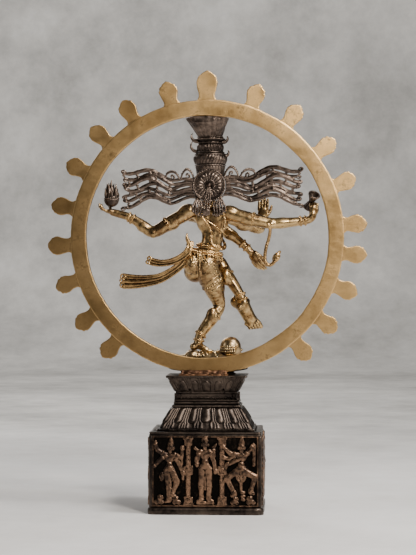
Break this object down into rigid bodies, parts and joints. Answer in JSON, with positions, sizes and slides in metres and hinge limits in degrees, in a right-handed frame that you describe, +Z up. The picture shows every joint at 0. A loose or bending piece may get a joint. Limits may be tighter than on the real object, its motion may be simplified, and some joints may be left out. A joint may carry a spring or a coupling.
{
  "type": "nataraja statue",
  "caption": "Free-standing brass dancing figure inside a ring of flames, on a lotus pedestal and a hollow square plinth with relief panels.",
  "frame": {"origin": "on the floor, under the middle of the plinth", "axes": "+Z up; the figure faces -Y; +X is the figure's own left side"},
  "size_m": [0.6542, 0.19, 0.9],
  "materials": {
    "base_bronze": "dark brown-black patina over cast brass, worn to copper colour on the raised edges",
    "relief_bronze": "dark patina in the recesses, rubbed copper-gold on the raised figures",
    "foot_copper": "coppery brazed brass, matt",
    "ring_brass": "filed and brushed brass, satin, lightly mottled",
    "dwarf_brass": "polished brass with brown in the recesses",
    "figure_brass": "polished brass with dark brown in the recesses",
    "ornament_brass": "polished brass on the high points, dark brown in the grooves",
    "hair_bronze": "dark grey-brown patina, worn lighter on the ridges",
    "fastener_steel": "plain zinc-plated steel"
  },
  "bodies": {
    "root": {"plinth_box": "base_bronze", "relief_panel_front": "relief_bronze", "relief_panel_back": "relief_bronze", "relief_panel_left": "relief_bronze", "relief_panel_right": "relief_bronze", "lotus_skirt": "base_bronze", "waist_moulding": "base_bronze", "lotus_cup": "base_bronze", "tie_rod": "fastener_steel", "tie_washer": "fastener_steel", "tie_nut": "fastener_steel", "ring_foot": "foot_copper", "ring_screws": "fastener_steel", "flame_ring": "ring_brass", "ring_flames": "ring_brass", "lotus_dais": "base_bronze", "dwarf": "dwarf_brass", "torso": "figure_brass", "kilt": "figure_brass", "waist_belt": "ornament_brass", "sacred_thread": "ornament_brass", "necklace": "ornament_brass", "head": "figure_brass", "earrings": "ornament_brass", "head_disc": "hair_bronze", "disc_tassel": "hair_bronze", "crown": "hair_bronze", "crown_crest": "hair_bronze", "hair_fan_left": "hair_bronze", "hair_fan_right": "hair_bronze", "arm_back_left": "figure_brass", "arm_back_right": "figure_brass", "arm_front_left": "figure_brass", "arm_front_right": "figure_brass", "armlets": "ornament_brass", "bracelets": "ornament_brass", "flame_bowl": "hair_bronze", "drum": "hair_bronze", "snake": "ornament_brass", "leg_standing": "figure_brass", "leg_raised": "figure_brass", "anklets": "ornament_brass", "knee_bands": "ornament_brass", "sash_upper": "ornament_brass", "sash_lower": "ornament_brass"}
  },
  "joints": []
}
